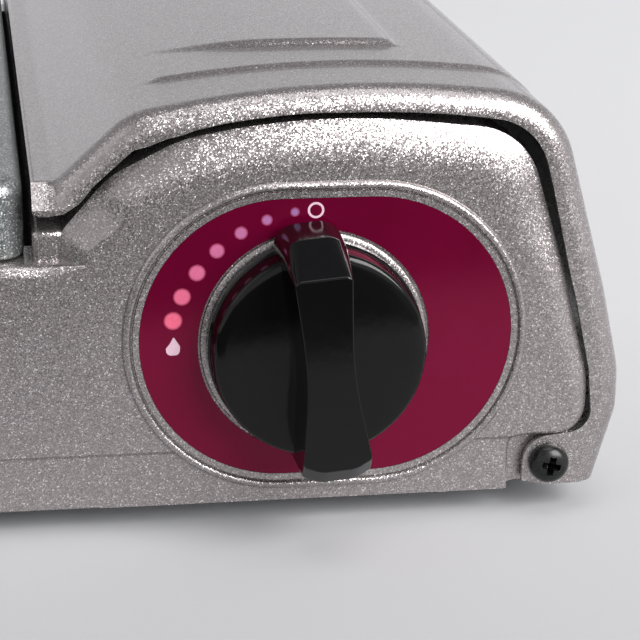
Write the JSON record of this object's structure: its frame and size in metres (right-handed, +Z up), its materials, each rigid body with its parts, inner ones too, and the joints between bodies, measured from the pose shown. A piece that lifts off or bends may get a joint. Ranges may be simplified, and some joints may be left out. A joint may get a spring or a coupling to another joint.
{
  "type": "butane cassette stove",
  "caption": "Portable table-top gas stove with a lift-off drip tray and trivet, a hinged cover over the fuel container bay and a front control knob with piezo ignition.",
  "frame": {"origin": "middle of the bounding box, on the table", "axes": "+Z up, +X to the right towards the container bay, -Y to the front where the knob is"},
  "size_m": [0.337, 0.278, 0.085],
  "materials": {
    "champagne_paint": "metallic pinkish-silver paint with a fine fleck, semi-gloss",
    "tray_coat": "grey-green metallic non-stick coat",
    "trivet_enamel": "black enamel",
    "zinc_sheet": "plain zinc-plated sheet",
    "steel_screw": "plated screws",
    "black_screw": "blackened pan heads",
    "rubber": "moulded rubber",
    "bowl_casting": "die-cast aluminium, as cast",
    "cap_brass": "machined brass",
    "governor_casting": "die-cast, as cast",
    "brass": "turned brass",
    "magnet": "ferrite ring, matt",
    "knob_plastic": "black, glossy",
    "label_maroon": "glossy maroon plate",
    "cam_plastic": "natural acetal",
    "piezo_plastic": "pale grey housing",
    "plunger_plastic": "red plastic",
    "lead_sleeve": "silicone sleeve",
    "ceramic": "glazed porcelain",
    "nylon": "natural nylon"
  },
  "bodies": {
    "housing": {"body_shell": "champagne_paint", "base_plate": "zinc_sheet", "rubber_feet": "rubber", "bay_partition": "zinc_sheet", "heat_panel": "zinc_sheet", "container_rest": "zinc_sheet", "burner_bowl": "bowl_casting", "burner_cap": "cap_brass", "burner_bracket": "zinc_sheet", "burner_screws": "steel_screw", "mixing_tube": "bowl_casting", "air_shutter": "zinc_sheet", "gas_jet": "brass", "governor_body": "governor_casting", "governor_cover": "zinc_sheet", "governor_screws": "steel_screw", "diaphragm": "rubber", "diaphragm_spring": "steel_screw", "magnet_ring": "magnet", "socket_seal": "rubber", "governor_bracket": "zinc_sheet", "spindle_seal": "rubber", "label_plate": "label_maroon", "piezo_igniter": "piezo_plastic", "ignition_lead": "lead_sleeve", "electrode": "steel_screw", "electrode_insulator": "ceramic", "electrode_bracket": "zinc_sheet", "cover_screws": "black_screw", "cover_nuts": "steel_screw", "cover_catch": "zinc_sheet", "base_screws": "steel_screw"},
    "cover": {"container_cover": "champagne_paint", "cover_bushes": "nylon"},
    "knob": {"control_knob": "knob_plastic", "valve_spindle": "brass", "ignition_cam": "cam_plastic"},
    "plunger": {"igniter_plunger": "plunger_plastic"},
    "tray": {"drip_tray": "tray_coat"},
    "trivet": {"trivet": "trivet_enamel"}
  },
  "joints": [
    {"name": "cover_hinge", "type": "hinge", "parent": "housing", "child": "cover", "pos_m": [0.1553, 0, 0.0102], "axis": [0, 1, 0], "range_deg": [0, 70]},
    {"name": "knob_turn", "type": "hinge", "parent": "housing", "child": "knob", "pos_m": [0.1117, 0, 0.0353], "axis": [0, -1, 0], "range_deg": [0, 95]},
    {"name": "plunger_push", "type": "slide", "parent": "housing", "child": "plunger", "axis": [0, 1, 0], "range_m": [0, 0.005]},
    {"name": "tray_lift", "type": "slide", "parent": "housing", "child": "tray", "axis": [0, 0, 1], "range_m": [0, 0.06]},
    {"name": "trivet_lift", "type": "slide", "parent": "tray", "child": "trivet", "axis": [0, 0, 1], "range_m": [0, 0.05]}
  ],
  "couplings": [
    {"joint": "plunger_push", "follows": "knob_turn", "m_per_rad": 0.003015}
  ]
}
